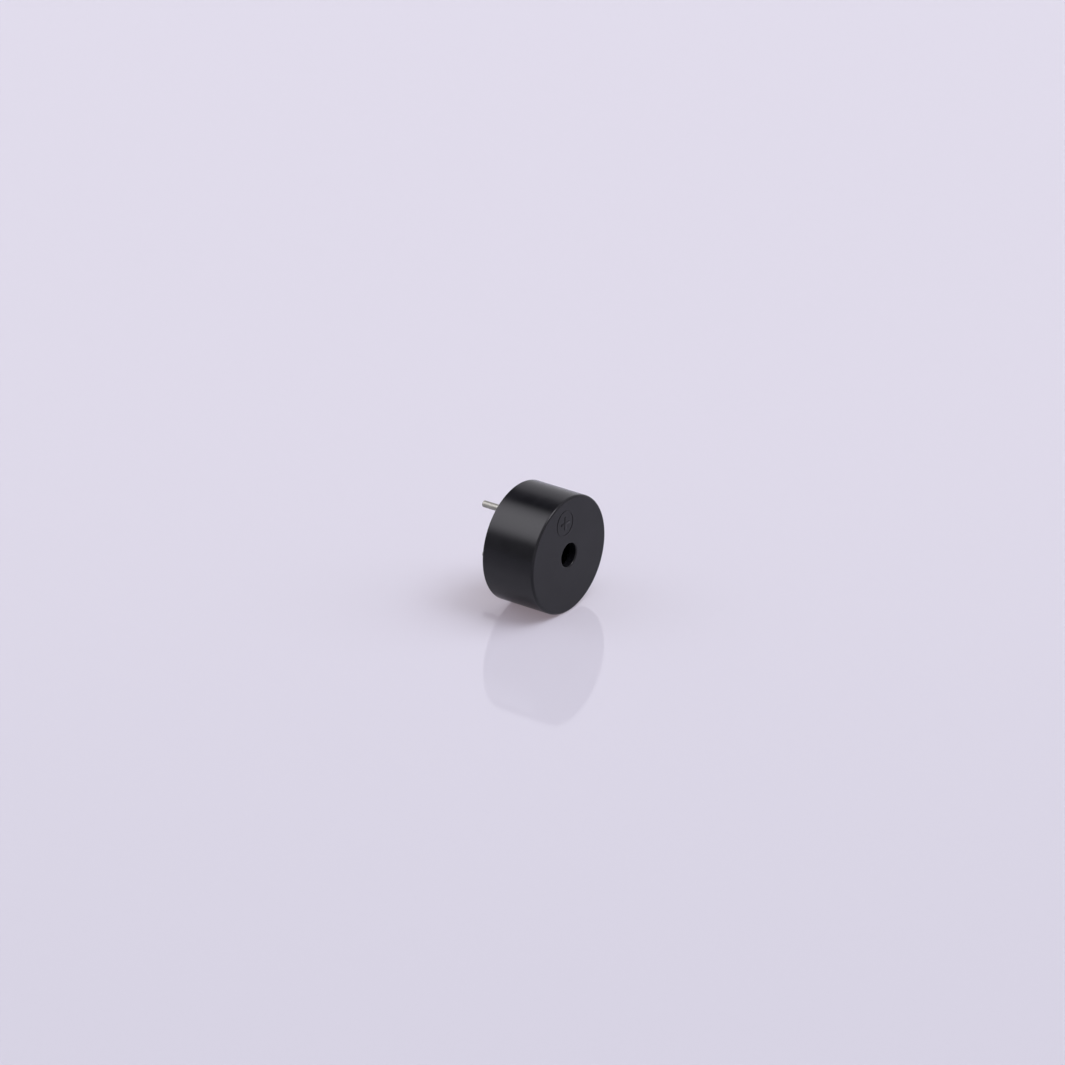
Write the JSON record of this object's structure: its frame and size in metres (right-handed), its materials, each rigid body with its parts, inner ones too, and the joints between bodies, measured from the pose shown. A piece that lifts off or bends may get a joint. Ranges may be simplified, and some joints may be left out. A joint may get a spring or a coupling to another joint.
{
  "type": "magnetic buzzer",
  "caption": "Low round magnetic buzzer for a circuit board: a black moulded cup with a sound hole in its front and straight tinned pins below.",
  "frame": {"origin": "centre of the seating plane, midway between the pins", "axes": "+Z through the sound hole, away from the circuit board; +Y from the positive pin to the negative pin"},
  "size_m": [0.009, 0.009, 0.0077],
  "materials": {
    "case_plastic": "satin black moulded thermoplastic",
    "tinned_pin": "tin plated brass wire, slightly dull",
    "solder": "bright tin solder",
    "copper": "copper foil",
    "board_laminate": "paper laminate",
    "epoxy": "glossy black casting resin",
    "iron": "zinc plated soft iron",
    "spring_steel": "rolled spring steel",
    "magnet": "sintered ferrite",
    "brass": "turned brass",
    "enamelled_wire": "enamelled copper wire"
  },
  "bodies": {
    "root": {"case": "case_plastic", "board": "board_laminate", "yoke": "iron", "core": "iron", "coil": "enamelled_wire", "coil_lead_positive": "enamelled_wire", "coil_lead_negative": "enamelled_wire", "magnet": "magnet", "support_ring": "brass", "diaphragm": "spring_steel", "armature": "iron", "seal": "epoxy", "pad_positive": "copper", "pad_negative": "copper", "pin_positive": "tinned_pin", "pin_negative": "tinned_pin", "pin_solder_positive": "solder", "pin_solder_negative": "solder", "lead_solder_positive": "solder", "lead_solder_negative": "solder"}
  },
  "joints": []
}
